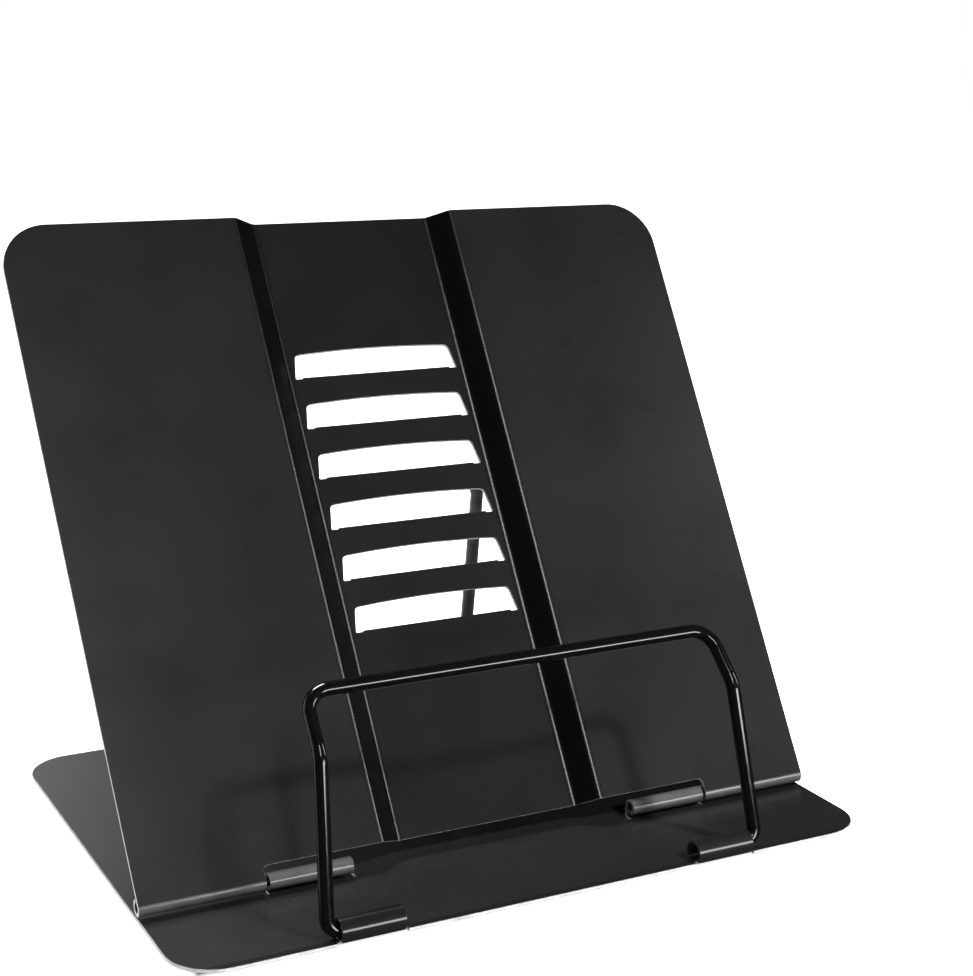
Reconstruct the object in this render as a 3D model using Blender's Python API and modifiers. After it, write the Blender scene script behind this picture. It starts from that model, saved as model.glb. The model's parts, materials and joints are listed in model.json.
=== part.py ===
"""Book display stand.

A sheet-metal base and a sheet-metal back plate turn on two short hinge pins. A wire
support leg stands between them, and a wire page holder swings at the front of the base.

Metres, +Z up, -Y towards the reader, +X to the reader's right. The origin is on the desk,
under the middle of the stand's overall box. The stand is open, with the back plate leaning
on the support leg.
"""

import math

import bmesh
import bpy
from mathutils import Vector

MM = 0.001

# Sheet metal shared by both plates
SHEET = 1.0 * MM
WIDTH = 210.0 * MM
CORNER_RADIUS = 14.0 * MM
RELIEF = 0.8 * MM

# Rubber foot pads, fixed under the base
PAD_RADIUS = 5.0 * MM
PAD_HEIGHT = 1.2 * MM
PAD_GAP = 0.3 * MM
PAD_INSET = 16.0 * MM

# Base plate: y is counted from the hinge line, z from the base's top face
BASE_FRONT = -37.0 * MM
BASE_REAR = 123.8 * MM

# Main hinge: knuckles on the base, rolls on the back plate, one pin on each side
HINGE_RISE = 2.95 * MM
HINGE_ROLL = 1.9 * MM
KNUCKLE_X = (44.5 * MM, 68.9 * MM)
KNUCKLE_ROOT = -1.5 * MM
KNUCKLE_BEND = 1.5 * MM
KNUCKLE_WINDOW = 9.5 * MM
KNUCKLE_ARC_END = 250.0
PLATE_ROLL_START = 69.9 * MM
PLATE_ROLL_ARC_END = 470.0
PIN_RADIUS = 1.1 * MM
PIN_X = (46.0 * MM, 103.5 * MM)

# Clips rolled from the base, which the two wires turn in
CLIP_ROLL = 2.9 * MM
CLIP_RISE = 2.4 * MM
FRONT_CLIP_X = (44.7 * MM, 62.8 * MM)
FRONT_CLIP_Y = -34.5 * MM
FRONT_CLIP_ARC_END = -35.0
REAR_CLIP_X = (10.0 * MM, 22.0 * MM)
REAR_CLIP_Y = 79.8 * MM
REAR_CLIP_WINDOW = 16.0 * MM
REAR_CLIP_ARC_END = 215.0

# Back plate: z is counted up the plate from the hinge line, y from the hinge line to the back
TILT = 57.7
PLATE_LENGTH = 193.3 * MM
CUTOUT_TOP = 4.2 * MM
CHANNEL_RECESS = 4.83 * MM
RIDGE_OUTER = 35.0 * MM
RIDGE_INNER = 28.3 * MM
RIDGE_BEND = 3.0 * MM
CHANNEL_BEND = 4.0 * MM

# Slots in the channel, each with a tab bent back from its lower edge
SLOT_COUNT = 6
SLOT_FIRST = 65.6 * MM
SLOT_PITCH = 15.65 * MM
SLOT_HEIGHT = 7.0 * MM
SLOT_ARCH = 0.9 * MM
SLOT_HALF_BOTTOM = 26.2 * MM
SLOT_HALF_TOP = 24.8 * MM
SLOT_CORNER = 1.6 * MM
NOTCH_WIDTH = 2.4 * MM
NOTCH_DEPTH = 0.5 * MM
NOTCH_CORNER = 0.3 * MM
TAB_GAP = 0.3 * MM
TAB_DEPTH = 2.6 * MM

# Wires
WIRE_RADIUS = 2.0 * MM
WIRE_BEND = 3.4 * MM
LEG_X = 26.8 * MM
LEG_END_X = 12.0 * MM
LEG_TOP_BEND = 6.0 * MM
LEG_SLOT = 3
LEG_BAR_BELOW_TAB = 0.4 * MM
LEG_BAR_DEPTH = 7.9 * MM
HOLDER_FOOT_X = 65.6 * MM
HOLDER_KINK_X = 62.2 * MM
HOLDER_TOP_X = 61.2 * MM
HOLDER_END_X = 48.0 * MM
HOLDER_LEG = 45.6 * MM
HOLDER_LEAN = 12.7
HOLDER_TOP = 17.6 * MM
HOLDER_TOP_LEAN = 43.9
HOLDER_KINK_BEND = 9.0 * MM
HOLDER_TOP_BEND = 6.5 * MM

# How round things are divided
ARC_STEP = 15.0
CORNER_STEPS = 6
BEND_STEPS = 3
ARCH_STEPS = 4
ROUND_SIDES = 24
WIRE_RESOLUTION = 4
SHARP_ANGLE = 40.0

# Places that follow from the sizes
CLIP_OUTER = CLIP_ROLL + SHEET / 2
HINGE_Y = -(BASE_REAR + FRONT_CLIP_Y - CLIP_OUTER) / 2
BASE_TOP = PAD_HEIGHT + PAD_GAP + SHEET
HINGE_Z = BASE_TOP + HINGE_RISE

BLACK_PAINT = ("black_paint", (0.033, 0.033, 0.034), 0.42, 0.0)
GLOSS_BLACK = ("gloss_black", (0.006, 0.006, 0.006), 0.18, 0.0)
DARK_STEEL = ("dark_steel", (0.05, 0.05, 0.052), 0.35, 1.0)
RUBBER = ("rubber", (0.02, 0.02, 0.02), 0.8, 0.0)


def clear_scene():
    for obj in list(bpy.data.objects):
        bpy.data.objects.remove(obj)


def new_collection(name):
    collection = bpy.data.collections.new(name)
    bpy.context.scene.collection.children.link(collection)
    return collection


def new_material(name, color, roughness, metallic):
    material = bpy.data.materials.get(name)
    if material is None:
        material = bpy.data.materials.new(name)
        material.use_nodes = True
        shader = material.node_tree.nodes["Principled BSDF"]
        shader.inputs["Base Color"].default_value = (*color, 1.0)
        shader.inputs["Roughness"].default_value = roughness
        shader.inputs["Metallic"].default_value = metallic
        material.diffuse_color = (*color, 1.0)
    return material


def add_object(name, data, collection, finish=None, parent=None, location=(0.0, 0.0, 0.0)):
    obj = bpy.data.objects.new(name, data)
    collection.objects.link(obj)
    obj.parent = parent
    obj.location = location
    if finish:
        data.materials.append(new_material(*finish))
    return obj


def add_axis(name, collection, location, tilt=0.0, parent=None):
    """An empty on a joint's axis, turned about X by tilt degrees."""
    axis = add_object(name, None, collection, parent=parent, location=location)
    axis.empty_display_size = 0.01
    axis.rotation_euler.x = math.radians(tilt)
    return axis


def add_cutter(name, mesh, collection, parent):
    cutter = add_object(name, mesh, collection, parent=parent)
    cutter.hide_render = True
    cutter.display_type = "WIRE"
    return cutter


def add_boolean(obj, tool, operation):
    modifier = obj.modifiers.new(f"{operation.lower()}_{tool.name}", "BOOLEAN")
    modifier.operation = operation
    modifier.solver = "EXACT"
    modifier.object = tool


def arc(center, radius, start, end, step=ARC_STEP):
    """Points on a circle from start to end degrees, both ends included."""
    count = max(1, round(abs(end - start) / step))
    angles = [math.radians(start + (end - start) * i / count) for i in range(count + 1)]
    return [Vector((center[0] + radius * math.cos(a), center[1] + radius * math.sin(a))) for a in angles]


def fillet(points, radii, steps):
    """The path through points, with each inner corner rounded to its radius."""
    points = [Vector(point) for point in points]
    path = [points[0]]
    for before, corner, after, radius in zip(points, points[1:], points[2:], radii):
        back = (before - corner).normalized()
        ahead = (after - corner).normalized()
        half = back.angle(ahead) / 2
        center = corner + (back + ahead).normalized() * radius / math.sin(half)
        start = corner + back * radius / math.tan(half) - center
        end = corner + ahead * radius / math.tan(half) - center
        turn = math.pi - 2 * half
        for i in range(steps + 1):
            fraction = turn * i / steps
            spoke = start * math.sin(turn - fraction) + end * math.sin(fraction)
            path.append(center + spoke / math.sin(turn))
    path.append(points[-1])
    return path


def both_sides(values):
    return [side * value for side in (-1, 1) for value in values]


def split(bm, axis, values):
    """Cuts the whole surface across at each value along one axis."""
    for value in values:
        normal = Vector((0.0, 0.0, 0.0))
        normal[axis] = 1.0
        geometry = bm.verts[:] + bm.edges[:] + bm.faces[:]
        bmesh.ops.bisect_plane(bm, geom=geometry, plane_co=normal * value, plane_no=normal)


def cut_window(bm, x_range, axis, other_range):
    """Removes the faces inside x_range and inside other_range along a second axis."""
    doomed = []
    for face in bm.faces:
        middle = face.calc_center_median()
        if x_range[0] < middle.x < x_range[1] and other_range[0] < middle[axis] < other_range[1]:
            doomed.append(face)
    bmesh.ops.delete(bm, geom=doomed, context="FACES")


def roll_strip(bm, x_range, root, path):
    """Draws the edge that lies at root, between the two x values, along a path of (y, z)."""
    def on_root(vert):
        inside = x_range[0] - SHEET / 10 < vert.co.x < x_range[1] + SHEET / 10
        return inside and (Vector(vert.co.yz) - Vector(root)).length < SHEET / 10

    edges = [edge for edge in bm.edges if all(on_root(vert) for vert in edge.verts)]
    place = Vector(root)
    for point in path:
        grown = bmesh.ops.extrude_edge_only(bm, edges=edges)["geom"]
        verts = {item for item in grown if isinstance(item, bmesh.types.BMVert)}
        edges = [item for item in grown if isinstance(item, bmesh.types.BMEdge)]
        edges = [edge for edge in edges if verts.issuperset(edge.verts)]
        bmesh.ops.translate(bm, verts=list(verts), vec=(0.0, point[0] - place[0], point[1] - place[1]))
        place = Vector(point)


def round_corners(bm, corners):
    """Rounds the outline of a flat surface at the given corners."""
    found = [v for v in bm.verts if any((v.co - corner).length < SHEET / 10 for corner in corners)]
    bmesh.ops.bevel(
        bm, geom=found, offset=CORNER_RADIUS, offset_type="OFFSET", segments=CORNER_STEPS,
        profile=0.5, affect="VERTICES",
    )


def thick_sheet(name, bm, collection, finish, parent, location=(0.0, 0.0, 0.0)):
    """Turns an open surface, which is the middle of the metal, into sheet."""
    bmesh.ops.recalc_face_normals(bm, faces=bm.faces[:])
    mesh = bpy.data.meshes.new(name)
    bm.to_mesh(mesh)
    bm.free()
    obj = add_object(name, mesh, collection, finish, parent, location)
    solidify = obj.modifiers.new("thickness", "SOLIDIFY")
    solidify.thickness = SHEET
    solidify.offset = 0.0
    solidify.use_even_offset = True
    return obj


def box_mesh(name, low, high):
    mesh = bpy.data.meshes.new(name)
    bm = bmesh.new()
    bmesh.ops.create_cube(bm, size=1.0)
    for vert in bm.verts:
        vert.co = [low[k] + (high[k] - low[k]) * (vert.co[k] + 0.5) for k in range(3)]
    bm.to_mesh(mesh)
    bm.free()
    return mesh


def shade_round(mesh):
    mesh.shade_smooth()
    mesh.set_sharp_from_angle(angle=math.radians(SHARP_ANGLE))


def outline_mesh(name, outline, depth):
    """A prism: a flat closed outline of (x, z) points, drawn depth to each side along Y."""
    curve = bpy.data.curves.new(name, "CURVE")
    curve.dimensions = "2D"
    curve.fill_mode = "BOTH"
    curve.extrude = depth
    spline = curve.splines.new("POLY")
    spline.points.add(len(outline) - 1)
    for point, (x, z) in zip(spline.points, outline):
        point.co = (x, z, 0.0, 1.0)
    spline.use_cyclic_u = True
    holder = bpy.data.objects.new(name, curve)
    bpy.context.scene.collection.objects.link(holder)
    graph = bpy.context.evaluated_depsgraph_get()
    mesh = bpy.data.meshes.new_from_object(holder.evaluated_get(graph))
    bm = bmesh.new()
    bm.from_mesh(mesh)
    bmesh.ops.remove_doubles(bm, verts=bm.verts[:], dist=0.001 * MM)
    for vert in bm.verts:
        vert.co = (vert.co.x, -vert.co.z, vert.co.y)
    bm.to_mesh(mesh)
    bm.free()
    bpy.data.objects.remove(holder)
    return mesh


def add_wire(name, path, collection, parent):
    """A round wire with flat ends along a path of points."""
    curve = bpy.data.curves.new(name, "CURVE")
    curve.dimensions = "3D"
    curve.bevel_depth = WIRE_RADIUS
    curve.bevel_resolution = WIRE_RESOLUTION
    curve.use_fill_caps = True
    spline = curve.splines.new("POLY")
    spline.points.add(len(path) - 1)
    for point, place in zip(spline.points, path):
        point.co = (*place, 1.0)
    return add_object(name, curve, collection, GLOSS_BLACK, parent)


def mirrored_path(half):
    """A path over both sides from its right half, which starts at the right end."""
    return half + [Vector((-point.x, point.y, point.z)) for point in reversed(half)]


def build_base(stand, parts):
    """The flat base, with two hinge knuckles and four wire clips rolled from it."""
    middle = -SHEET / 2
    bm = bmesh.new()
    bmesh.ops.create_grid(bm, x_segments=1, y_segments=1, size=0.5)
    for vert in bm.verts:
        side = 1 if vert.co.y > 0 else -1
        vert.co = (vert.co.x * WIDTH, BASE_REAR if side > 0 else BASE_FRONT, middle)
    round_corners(bm, [vert.co.copy() for vert in bm.verts])

    cuts = []
    for x_range in (KNUCKLE_X, FRONT_CLIP_X, REAR_CLIP_X):
        cuts += [x_range[0] - RELIEF, x_range[0], x_range[1], x_range[1] + RELIEF]
    split(bm, 0, both_sides(cuts))
    windows = [
        (KNUCKLE_X, (KNUCKLE_ROOT, KNUCKLE_WINDOW)),
        (FRONT_CLIP_X, (2 * BASE_FRONT, FRONT_CLIP_Y)),
        (REAR_CLIP_X, (REAR_CLIP_Y, REAR_CLIP_Y + REAR_CLIP_WINDOW)),
    ]
    split(bm, 1, [KNUCKLE_ROOT, KNUCKLE_WINDOW, FRONT_CLIP_Y, REAR_CLIP_Y, REAR_CLIP_Y + REAR_CLIP_WINDOW])

    knuckle = arc((HINGE_ROLL - KNUCKLE_BEND, middle + KNUCKLE_BEND), KNUCKLE_BEND, -90, 0, 2 * ARC_STEP)
    knuckle += arc((0.0, HINGE_RISE), HINGE_ROLL, 0, KNUCKLE_ARC_END)
    front_clip = arc((FRONT_CLIP_Y, CLIP_RISE), CLIP_ROLL, 270, FRONT_CLIP_ARC_END)[1:]
    rear_clip = arc((REAR_CLIP_Y, CLIP_RISE), CLIP_ROLL, -90, REAR_CLIP_ARC_END)[1:]
    for side in (-1, 1):
        for x_range, y_range in windows:
            low, high = sorted((side * (x_range[0] - RELIEF), side * (x_range[1] + RELIEF)))
            cut_window(bm, (low, high), 1, y_range)
        roll_strip(bm, sorted(side * x for x in KNUCKLE_X), (KNUCKLE_ROOT, middle), knuckle)
        roll_strip(bm, sorted(side * x for x in FRONT_CLIP_X), (FRONT_CLIP_Y, middle), front_clip)
        roll_strip(bm, sorted(side * x for x in REAR_CLIP_X), (REAR_CLIP_Y, middle), rear_clip)
    thick_sheet("base_plate", bm, parts, BLACK_PAINT, stand, (0.0, HINGE_Y, BASE_TOP))


def build_foot_pads(stand, parts):
    front = HINGE_Y + BASE_FRONT + PAD_INSET
    rear = HINGE_Y + BASE_REAR - PAD_INSET
    for end, y in (("front", front), ("rear", rear)):
        for hand, side in (("left", -1), ("right", 1)):
            name = f"foot_pad_{end}_{hand}"
            mesh = bpy.data.meshes.new(name)
            bm = bmesh.new()
            bmesh.ops.create_cone(
                bm, cap_ends=True, segments=ROUND_SIDES,
                radius1=PAD_RADIUS, radius2=PAD_RADIUS, depth=PAD_HEIGHT,
            )
            bm.to_mesh(mesh)
            bm.free()
            shade_round(mesh)
            place = (side * (WIDTH / 2 - PAD_INSET), y, PAD_HEIGHT / 2)
            add_object(name, mesh, parts, RUBBER, stand, place)


def build_hinge_pins(hinge, parts):
    length = PIN_X[1] - PIN_X[0]
    for hand, side in (("left", -1), ("right", 1)):
        name = f"hinge_pin_{hand}"
        mesh = bpy.data.meshes.new(name)
        bm = bmesh.new()
        bmesh.ops.create_cone(
            bm, cap_ends=True, segments=ROUND_SIDES, radius1=PIN_RADIUS, radius2=PIN_RADIUS, depth=length,
        )
        bm.to_mesh(mesh)
        bm.free()
        shade_round(mesh)
        pin = add_object(name, mesh, parts, DARK_STEEL, hinge, (side * sum(PIN_X) / 2, 0.0, 0.0))
        pin.rotation_euler.y = math.radians(90)


def slot_outline(bottom):
    """Slanted ends, an arched upper edge, and a small relief notch at each end of the lower edge."""
    notch_x = SLOT_HALF_BOTTOM - NOTCH_WIDTH
    end = [(notch_x, bottom - NOTCH_DEPTH), (SLOT_HALF_BOTTOM, bottom - NOTCH_DEPTH)]
    crown = []
    for step in range(ARCH_STEPS):
        across = 1 - step / ARCH_STEPS
        crown.append((SLOT_HALF_TOP * across, bottom + SLOT_HEIGHT + SLOT_ARCH * (1 - across**2)))
    corner = fillet(end + crown[:2], (NOTCH_CORNER, SLOT_CORNER), BEND_STEPS)
    half = [Vector((notch_x, bottom))] + corner + [Vector(point) for point in crown[2:]]
    middle = Vector((0.0, bottom + SLOT_HEIGHT + SLOT_ARCH))
    return half + [middle] + [Vector((-point.x, point.y)) for point in reversed(half)]


def build_back_plate(hinge, parts, cutters):
    """The sloping plate: two wings, a channel between them, and two hinge rolls below."""
    wing = -HINGE_ROLL
    channel = wing + CHANNEL_RECESS
    half = WIDTH / 2
    corners = [
        (-half, wing), (-RIDGE_OUTER, wing), (-RIDGE_INNER, channel),
        (RIDGE_INNER, channel), (RIDGE_OUTER, wing), (half, wing),
    ]
    section = fillet(corners, (RIDGE_BEND, CHANNEL_BEND, CHANNEL_BEND, RIDGE_BEND), BEND_STEPS)
    bm = bmesh.new()
    verts = [bm.verts.new((point.x, point.y, 0.0)) for point in section]
    edges = [bm.edges.new(pair) for pair in zip(verts, verts[1:])]
    grown = bmesh.ops.extrude_edge_only(bm, edges=edges)["geom"]
    upper = [item for item in grown if isinstance(item, bmesh.types.BMVert)]
    bmesh.ops.translate(bm, verts=upper, vec=(0.0, 0.0, PLATE_LENGTH))
    top_corners = [Vector((side * half, wing, PLATE_LENGTH)) for side in (-1, 1)]

    split(bm, 0, both_sides([PLATE_ROLL_START]))
    split(bm, 2, [CUTOUT_TOP])
    round_corners(bm, top_corners)
    cut_window(bm, (-PLATE_ROLL_START, PLATE_ROLL_START), 2, (-CUTOUT_TOP, CUTOUT_TOP))
    roll = arc((0.0, 0.0), HINGE_ROLL, 180, PLATE_ROLL_ARC_END)[1:]
    for side in (-1, 1):
        roll_strip(bm, sorted((side * PLATE_ROLL_START, side * half)), (wing, 0.0), roll)
    plate = thick_sheet("back_plate", bm, parts, BLACK_PAINT, hinge)

    back = channel + SHEET / 2
    tab_x = SLOT_HALF_BOTTOM - NOTCH_WIDTH - TAB_GAP
    for number in range(SLOT_COUNT):
        bottom = SLOT_FIRST + number * SLOT_PITCH
        low = (-tab_x, channel, bottom - SHEET)
        high = (tab_x, back + TAB_DEPTH, bottom + SHEET)
        tab = add_cutter(f"tab_{number}", box_mesh(f"tab_{number}", low, high), cutters, hinge)
        add_boolean(plate, tab, "UNION")
    for number in range(SLOT_COUNT):
        outline = slot_outline(SLOT_FIRST + number * SLOT_PITCH)
        mesh = outline_mesh(f"slot_{number}", outline, 5 * TAB_DEPTH)
        slot = add_cutter(f"slot_{number}", mesh, cutters, hinge)
        add_boolean(plate, slot, "DIFFERENCE")


def build_support_leg(stand, parts):
    """A wire loop whose ends turn in the rear clips and whose top bar sits under a tab."""
    tilt = math.radians(TILT)
    along = SLOT_FIRST + LEG_SLOT * SLOT_PITCH - SHEET - LEG_BAR_BELOW_TAB - WIRE_RADIUS
    bar_y = HINGE_Y + along * math.cos(tilt) + LEG_BAR_DEPTH * math.sin(tilt)
    bar_z = HINGE_Z + along * math.sin(tilt) - LEG_BAR_DEPTH * math.cos(tilt)
    pivot_y = HINGE_Y + REAR_CLIP_Y
    pivot_z = BASE_TOP + CLIP_RISE
    length = math.hypot(bar_y - pivot_y, bar_z - pivot_z)
    lean = math.degrees(math.atan2(pivot_y - bar_y, bar_z - pivot_z))
    axis = add_axis("support_leg_axis", parts, (0.0, pivot_y, pivot_z), lean, stand)
    corners = [(LEG_END_X, 0.0, 0.0), (LEG_X, 0.0, 0.0), (LEG_X, 0.0, length), (0.0, 0.0, length)]
    half = fillet(corners, (WIRE_BEND, LEG_TOP_BEND), CORNER_STEPS)
    add_wire("support_leg", mirrored_path(half[:-1]), parts, axis)


def build_page_holder(stand, parts):
    """A wire loop in front of the plate, cranked back near its top."""
    pivot = (0.0, HINGE_Y + FRONT_CLIP_Y, BASE_TOP + CLIP_RISE)
    axis = add_axis("page_holder_axis", parts, pivot, 0.0, stand)
    lean = math.radians(HOLDER_LEAN)
    top_lean = math.radians(HOLDER_TOP_LEAN)
    kink = Vector((HOLDER_KINK_X, HOLDER_LEG * math.sin(lean), HOLDER_LEG * math.cos(lean)))
    top_y = kink.y + HOLDER_TOP * math.sin(top_lean)
    top = Vector((HOLDER_TOP_X, top_y, kink.z + HOLDER_TOP * math.cos(top_lean)))
    corners = [(HOLDER_END_X, 0.0, 0.0), (HOLDER_FOOT_X, 0.0, 0.0), kink, top, (0.0, top.y, top.z)]
    half = fillet(corners, (WIRE_BEND, HOLDER_KINK_BEND, HOLDER_TOP_BEND), CORNER_STEPS)
    add_wire("page_holder", mirrored_path(half[:-1]), parts, axis)


def build_stand():
    clear_scene()
    parts = new_collection("book_display_stand")
    cutters = new_collection("cutters")
    stand = add_axis("stand", parts, (0.0, 0.0, 0.0))
    hinge = add_axis("hinge_axis", parts, (0.0, HINGE_Y, HINGE_Z), TILT - 90.0, stand)
    build_base(stand, parts)
    build_foot_pads(stand, parts)
    build_hinge_pins(hinge, parts)
    build_back_plate(hinge, parts, cutters)
    build_support_leg(stand, parts)
    build_page_holder(stand, parts)


build_stand()
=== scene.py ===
"""Book display stand on a pale floor, under soft studio light.

Metres, +Z up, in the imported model's frame. The stand's sheet metal, wires, pins and pads are
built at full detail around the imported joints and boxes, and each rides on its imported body.
"""

import json
import math

import bmesh
import bpy
from mathutils import Matrix, Vector


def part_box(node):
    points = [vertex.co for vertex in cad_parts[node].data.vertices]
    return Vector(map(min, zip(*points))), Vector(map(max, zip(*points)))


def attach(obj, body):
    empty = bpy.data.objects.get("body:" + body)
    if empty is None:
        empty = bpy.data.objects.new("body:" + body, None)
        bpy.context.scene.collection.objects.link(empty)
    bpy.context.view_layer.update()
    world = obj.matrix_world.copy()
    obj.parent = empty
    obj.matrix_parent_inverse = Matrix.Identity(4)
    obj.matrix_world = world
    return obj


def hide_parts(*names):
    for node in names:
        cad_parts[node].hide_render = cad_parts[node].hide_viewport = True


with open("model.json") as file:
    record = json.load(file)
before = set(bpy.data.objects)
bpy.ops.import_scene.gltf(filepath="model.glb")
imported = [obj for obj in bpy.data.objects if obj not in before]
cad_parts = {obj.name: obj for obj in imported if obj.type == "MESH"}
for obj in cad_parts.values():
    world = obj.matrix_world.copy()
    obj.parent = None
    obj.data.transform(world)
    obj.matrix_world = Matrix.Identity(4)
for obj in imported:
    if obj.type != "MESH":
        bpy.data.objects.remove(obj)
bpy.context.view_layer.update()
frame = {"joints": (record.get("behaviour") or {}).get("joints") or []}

MM = 0.001

# Sheet metal
SHEET = 1.0 * MM
CORNER_RADIUS = 14.0 * MM
RELIEF = 0.8 * MM
EDGE_ROUND = 0.28 * MM

# Base plate: y is counted from the hinge line, z from the base's top face
BASE_FRONT = -37.0 * MM
HINGE_ROLL = 1.9 * MM
KNUCKLE_X = (44.5 * MM, 68.9 * MM)
KNUCKLE_ROOT = -1.5 * MM
KNUCKLE_BEND = 1.5 * MM
KNUCKLE_WINDOW = 9.5 * MM
KNUCKLE_ARC_END = 250.0
CLIP_ROLL = 2.9 * MM
FRONT_CLIP_X = (44.7 * MM, 62.8 * MM)
FRONT_CLIP_ARC_END = -35.0
REAR_CLIP_X = (10.0 * MM, 22.0 * MM)
REAR_CLIP_WINDOW = 16.0 * MM
REAR_CLIP_ARC_END = 215.0

# Back plate: z is counted up the plate from the hinge line, y from the hinge line to the back
TILT = 57.7
PLATE_LENGTH = 193.3 * MM
PLATE_ROLL_START = 69.9 * MM
PLATE_ROLL_ARC_END = 470.0
CUTOUT_TOP = 4.2 * MM
CUTOUT_CORNER = 1.5 * MM
CHANNEL_RECESS = 4.83 * MM
RIDGE_OUTER = 35.0 * MM
RIDGE_INNER = 28.3 * MM
RIDGE_BEND = 3.0 * MM
CHANNEL_BEND = 4.0 * MM
SLOT_COUNT = 6
SLOT_FIRST = 65.6 * MM
SLOT_PITCH = 15.65 * MM
SLOT_HEIGHT = 7.0 * MM
SLOT_ARCH = 0.9 * MM
SLOT_HALF_BOTTOM = 26.2 * MM
SLOT_HALF_TOP = 24.8 * MM
SLOT_CORNER = 1.6 * MM
SLOT_EDGE_ROUND = 0.2 * MM
NOTCH_WIDTH = 2.4 * MM
NOTCH_DEPTH = 0.5 * MM
NOTCH_CORNER = 0.3 * MM
TAB_GAP = 0.3 * MM
TAB_DEPTH = 2.6 * MM
TAB_BEND = 0.8 * MM
TAB_CORNER = 1.0 * MM

# Wires and pins
WIRE_RADIUS = 2.0 * MM
WIRE_BEND = 3.4 * MM
WIRE_CHAMFER = 0.4 * MM
LEG_X = 26.8 * MM
LEG_END_X = 12.0 * MM
LEG_TOP_BEND = 6.0 * MM
HOLDER_FOOT_X = 65.6 * MM
HOLDER_KINK_X = 62.2 * MM
HOLDER_TOP_X = 61.2 * MM
HOLDER_END_X = 48.0 * MM
HOLDER_LEG = 45.6 * MM
HOLDER_LEAN = 12.7
HOLDER_KINK_BEND = 9.0 * MM
HOLDER_TOP_BEND = 6.5 * MM
PIN_RADIUS = 1.1 * MM
PIN_CHAMFER = 0.25 * MM

# Foot pads
PAD_RADIUS = 5.0 * MM
PAD_ROUND = 0.35 * MM
PAD_HEIGHT = 1.2 * MM
LINER_RADIUS = 4.7 * MM

# How round things are divided
ARC_STEP = 7.5
CORNER_STEPS = 16
BEND_STEPS = 8
ARCH_STEPS = 10
SMALL_CORNER_STEPS = 5
TAB_CORNER_STEPS = 6
PAD_CORNER_STEPS = 4
PAD_SIDES = 48
WIRE_RESOLUTION = 8
BASE_EDGE_STEPS = 3
PLATE_EDGE_STEPS = 2
SOFT_EDGE_ANGLE = 40.0
CREASE_ANGLE = 32.0

# A length too small to matter, for overlaps and for telling points apart
HAIR = 0.05 * MM

# Face marks while a sheet is built, and how much the paint is worn and lightened as a painted edge highlight
# on plain, cut and rounded faces
CUT_FACE = 1
ROUNDED_EDGE = 2
EDGE_WEAR_AND_HIGHLIGHT = (0.0, 1.0, 0.75)

# Paint: how polished the clips are, how much painted shade darkens the channel's floor, and the bends' reach
CLIP_POLISH = 0.4
CHANNEL_FLOOR_SHADE = 0.4
CREASE_MARGIN = 1.2 * MM

# Studio
FLOOR_RADIUS = 6.0
FLOOR_FADE = (-6.5 * MM, -4.5 * MM)
SOFTBOX_DISTANCE = 1.2
SOFTBOX_TARGET = (0.0, 0.0, 0.06)
LAMP_WAY = (0.33, -0.545, 0.77)
CAMERA_AZIMUTH = -27.834
CAMERA_ELEVATION = 18.866
CAMERA_ROLL = 0.482
CAMERA_PLACE = (-0.22130, -0.47446, 0.21956)


# Outlines and paths

def arc(center, radius, start, end, step=ARC_STEP):
    """Points on a circle from start to end degrees, both ends included."""
    count = max(1, round(abs(end - start) / step))
    angles = [math.radians(start + (end - start) * i / count) for i in range(count + 1)]
    return [Vector((center[0] + radius * math.cos(a), center[1] + radius * math.sin(a))) for a in angles]


def fillet(points, radii, steps):
    """The path through points, with each inner corner rounded to its radius."""
    points = [Vector(point) for point in points]
    path = [points[0]]
    for before, corner, after, radius in zip(points, points[1:], points[2:], radii):
        back = (before - corner).normalized()
        ahead = (after - corner).normalized()
        half = back.angle(ahead) / 2
        center = corner + (back + ahead).normalized() * radius / math.sin(half)
        start = corner + back * radius / math.tan(half) - center
        end = corner + ahead * radius / math.tan(half) - center
        turn = math.pi - 2 * half
        for i in range(steps + 1):
            fraction = turn * i / steps
            spoke = start * math.sin(turn - fraction) + end * math.sin(fraction)
            path.append(center + spoke / math.sin(turn))
    path.append(points[-1])
    return path


def both_sides(values):
    return [side * value for side in (-1, 1) for value in values]


def mirrored_path(half):
    """A path over both sides from its right half, which starts at the right end."""
    return half + [Vector((-point.x, point.y, point.z)) for point in reversed(half)]


def slot_outline(bottom):
    """Slanted ends, an arched upper edge, and a small relief notch at each end of the lower edge."""
    notch_x = SLOT_HALF_BOTTOM - NOTCH_WIDTH
    end = [(notch_x, bottom - NOTCH_DEPTH), (SLOT_HALF_BOTTOM, bottom - NOTCH_DEPTH)]
    crown = []
    for step in range(ARCH_STEPS):
        across = 1 - step / ARCH_STEPS
        crown.append((SLOT_HALF_TOP * across, bottom + SLOT_HEIGHT + SLOT_ARCH * (1 - across**2)))
    corner = fillet(end + crown[:2], (NOTCH_CORNER, SLOT_CORNER), SMALL_CORNER_STEPS)
    half = [Vector((notch_x, bottom))] + corner + [Vector(point) for point in crown[2:]]
    middle = Vector((0.0, bottom + SLOT_HEIGHT + SLOT_ARCH))
    return half + [middle] + [Vector((-point.x, point.y)) for point in reversed(half)]


# Sheet metal, drawn as the open surface in the middle of the metal

def split(bm, axis, values):
    """Cuts the whole surface across at each value along one axis."""
    for value in values:
        normal = Vector((0.0, 0.0, 0.0))
        normal[axis] = 1.0
        geometry = bm.verts[:] + bm.edges[:] + bm.faces[:]
        bmesh.ops.bisect_plane(bm, geom=geometry, plane_co=normal * value, plane_no=normal)


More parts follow.
